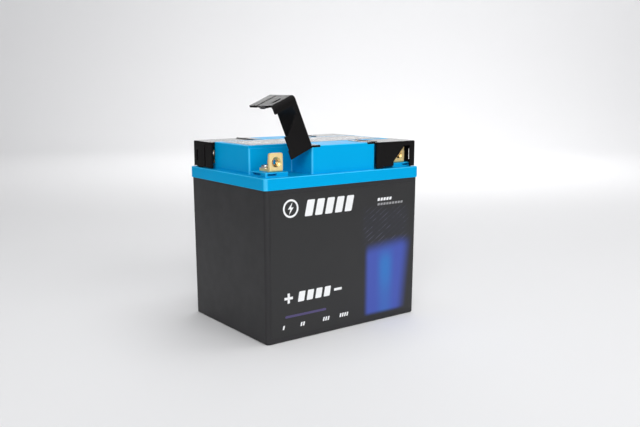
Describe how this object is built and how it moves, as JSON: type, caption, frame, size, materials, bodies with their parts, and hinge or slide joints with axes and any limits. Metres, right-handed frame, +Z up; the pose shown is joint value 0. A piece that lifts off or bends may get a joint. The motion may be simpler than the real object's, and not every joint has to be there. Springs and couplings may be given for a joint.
{
  "type": "motorcycle battery",
  "caption": "Upright battery with a drafted dark case, a stepped blue lid and corner terminals under hinged covers, one swung open.",
  "frame": {"origin": "centre of the footprint, on the surface the battery stands on", "axes": "+Z up; +X to the right along the long face that carries the large label, which is the front, at -Y"},
  "size_m": [0.166, 0.126, 0.2019],
  "materials": {
    "case_plastic": "matte",
    "lid_plastic": "satin",
    "cover_plastic": "satin",
    "seal_rubber": "matte",
    "brass": "satin",
    "steel": "satin",
    "copper": "satin",
    "nickel": "satin",
    "inner_plastic": "matte",
    "board": "satin",
    "component": "satin",
    "cell_can": "satin",
    "foam": "matte",
    "front_film": "satin",
    "top_film": "satin"
  },
  "bodies": {
    "housing": {"case": "case_plastic", "lid": "lid_plastic", "lid_seal": "seal_rubber", "hinge_pins": "steel", "threaded_inserts": "brass", "terminal_screws": "steel", "terminal_posts": "brass", "positive_collector": "copper", "negative_collector": "copper", "positive_lead": "copper", "negative_lead": "copper", "series_links": "copper", "sense_tabs": "nickel", "cell_tray": "inner_plastic", "cell_frame": "inner_plastic", "balance_board": "board", "board_components": "component", "board_screws": "steel", "foam_left": "foam", "foam_right": "foam", "foam_front": "foam", "foam_back": "foam", "front_label": "front_film", "top_label": "top_film", "cell_1": "cell_can", "cell_2": "cell_can", "cell_3": "cell_can", "cell_4": "cell_can", "hinge_leaf_front_left": "cover_plastic", "terminal_front_left": "brass", "hinge_leaf_front_right": "cover_plastic", "terminal_front_right": "brass", "hinge_leaf_back_left": "cover_plastic", "terminal_back_left": "brass", "hinge_leaf_back_right": "cover_plastic", "terminal_back_right": "brass"},
    "cover_front_left": {"cover_front_left": "cover_plastic"},
    "cover_front_right": {"cover_front_right": "cover_plastic"},
    "cover_back_left": {"cover_back_left": "cover_plastic"},
    "cover_back_right": {"cover_back_right": "cover_plastic"}
  },
  "joints": [
    {"name": "cover_front_left_hinge", "type": "hinge", "parent": "housing", "child": "cover_front_left", "pos_m": [-0.0354, -0.0446, 0.1602], "axis": [0, 1, 0], "range_deg": [-67, 43]},
    {"name": "cover_front_right_hinge", "type": "hinge", "parent": "housing", "child": "cover_front_right", "pos_m": [0.0354, -0.0446, 0.1602], "axis": [0, -1, 0], "range_deg": [0, 110]},
    {"name": "cover_back_left_hinge", "type": "hinge", "parent": "housing", "child": "cover_back_left", "pos_m": [-0.0354, 0.0446, 0.1602], "axis": [0, 1, 0], "range_deg": [0, 110]},
    {"name": "cover_back_right_hinge", "type": "hinge", "parent": "housing", "child": "cover_back_right", "pos_m": [0.0354, 0.0446, 0.1602], "axis": [0, -1, 0], "range_deg": [0, 110]}
  ]
}
